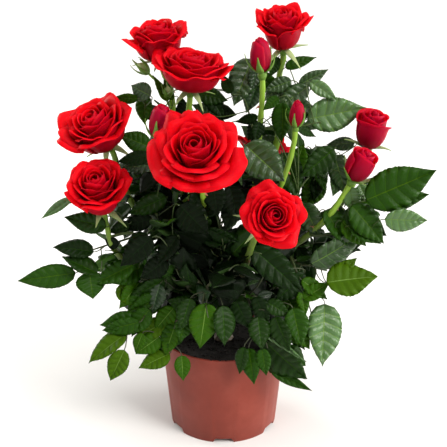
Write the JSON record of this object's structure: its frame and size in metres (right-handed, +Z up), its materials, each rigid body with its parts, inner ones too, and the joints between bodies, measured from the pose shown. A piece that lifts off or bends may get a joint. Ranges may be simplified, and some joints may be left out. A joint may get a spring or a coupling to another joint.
{
  "type": "potted rose bush",
  "caption": "Bushy patio rose in a round tapered plastic pot, with double red blooms and buds on green stalks above dark, toothed leaves.",
  "frame": {"origin": "centre of the pot's flat underside, on the ground", "axes": "+Z up, -Y towards the viewer, +X to the viewer's right"},
  "size_m": [0.3759, 0.2915, 0.4062],
  "materials": {
    "pot_plastic": "satin",
    "compost": "matte",
    "old_wood": "matte",
    "green_stem": "satin",
    "leaf": "satin",
    "petal": "matte",
    "bud_petal": "matte"
  },
  "bodies": {
    "root": {"pot": "pot_plastic", "compost": "compost", "crown": "old_wood", "cane_back_left": "green_stem", "cane_back_right": "green_stem", "cane_centre": "green_stem", "cane_front": "green_stem", "cane_left": "green_stem", "cane_right": "green_stem", "stalk_back_left": "green_stem", "stalk_back_right": "green_stem", "stalk_front": "green_stem", "stalk_left_bud": "green_stem", "stalk_left_low": "green_stem", "stalk_right_bud": "green_stem", "stalk_right_small": "green_stem", "stalk_top_right_bud": "green_stem", "bloom_back_left": "petal", "bloom_back_right": "petal", "bloom_front": "petal", "bloom_front_right": "petal", "bloom_left": "petal", "bloom_left_low": "petal", "bloom_top_left": "petal", "bloom_top_middle": "petal", "bloom_top_right": "petal", "bud_far_right": "bud_petal", "bud_left": "bud_petal", "bud_right": "bud_petal", "bud_right_small": "bud_petal", "bud_top_right": "bud_petal", "leaves_back_high": "leaf", "leaves_back_left_high": "leaf", "leaves_back_left_low": "leaf", "leaves_back_low": "leaf", "leaves_back_right_high": "leaf", "leaves_back_right_low": "leaf", "leaves_centre": "leaf", "leaves_far_left": "leaf", "leaves_far_right": "leaf", "leaves_far_right_low": "leaf", "leaves_front_left": "leaf", "leaves_front_low": "leaf", "leaves_front_quilt": "leaf", "leaves_front_right": "leaf", "leaves_left_high": "leaf", "leaves_left_low": "leaf", "leaves_left_shoulder": "leaf", "leaves_left_skirt": "leaf", "leaves_left_upper": "leaf", "leaves_right_drop": "leaf", "leaves_right_hanging": "leaf", "leaves_right_heart": "leaf", "leaves_right_high": "leaf", "leaves_right_middle": "leaf", "leaves_right_shoulder": "leaf", "leaves_right_skirt": "leaf", "leaves_top_left": "leaf", "leaves_top_middle": "leaf", "leaves_top_right": "leaf"}
  },
  "joints": []
}
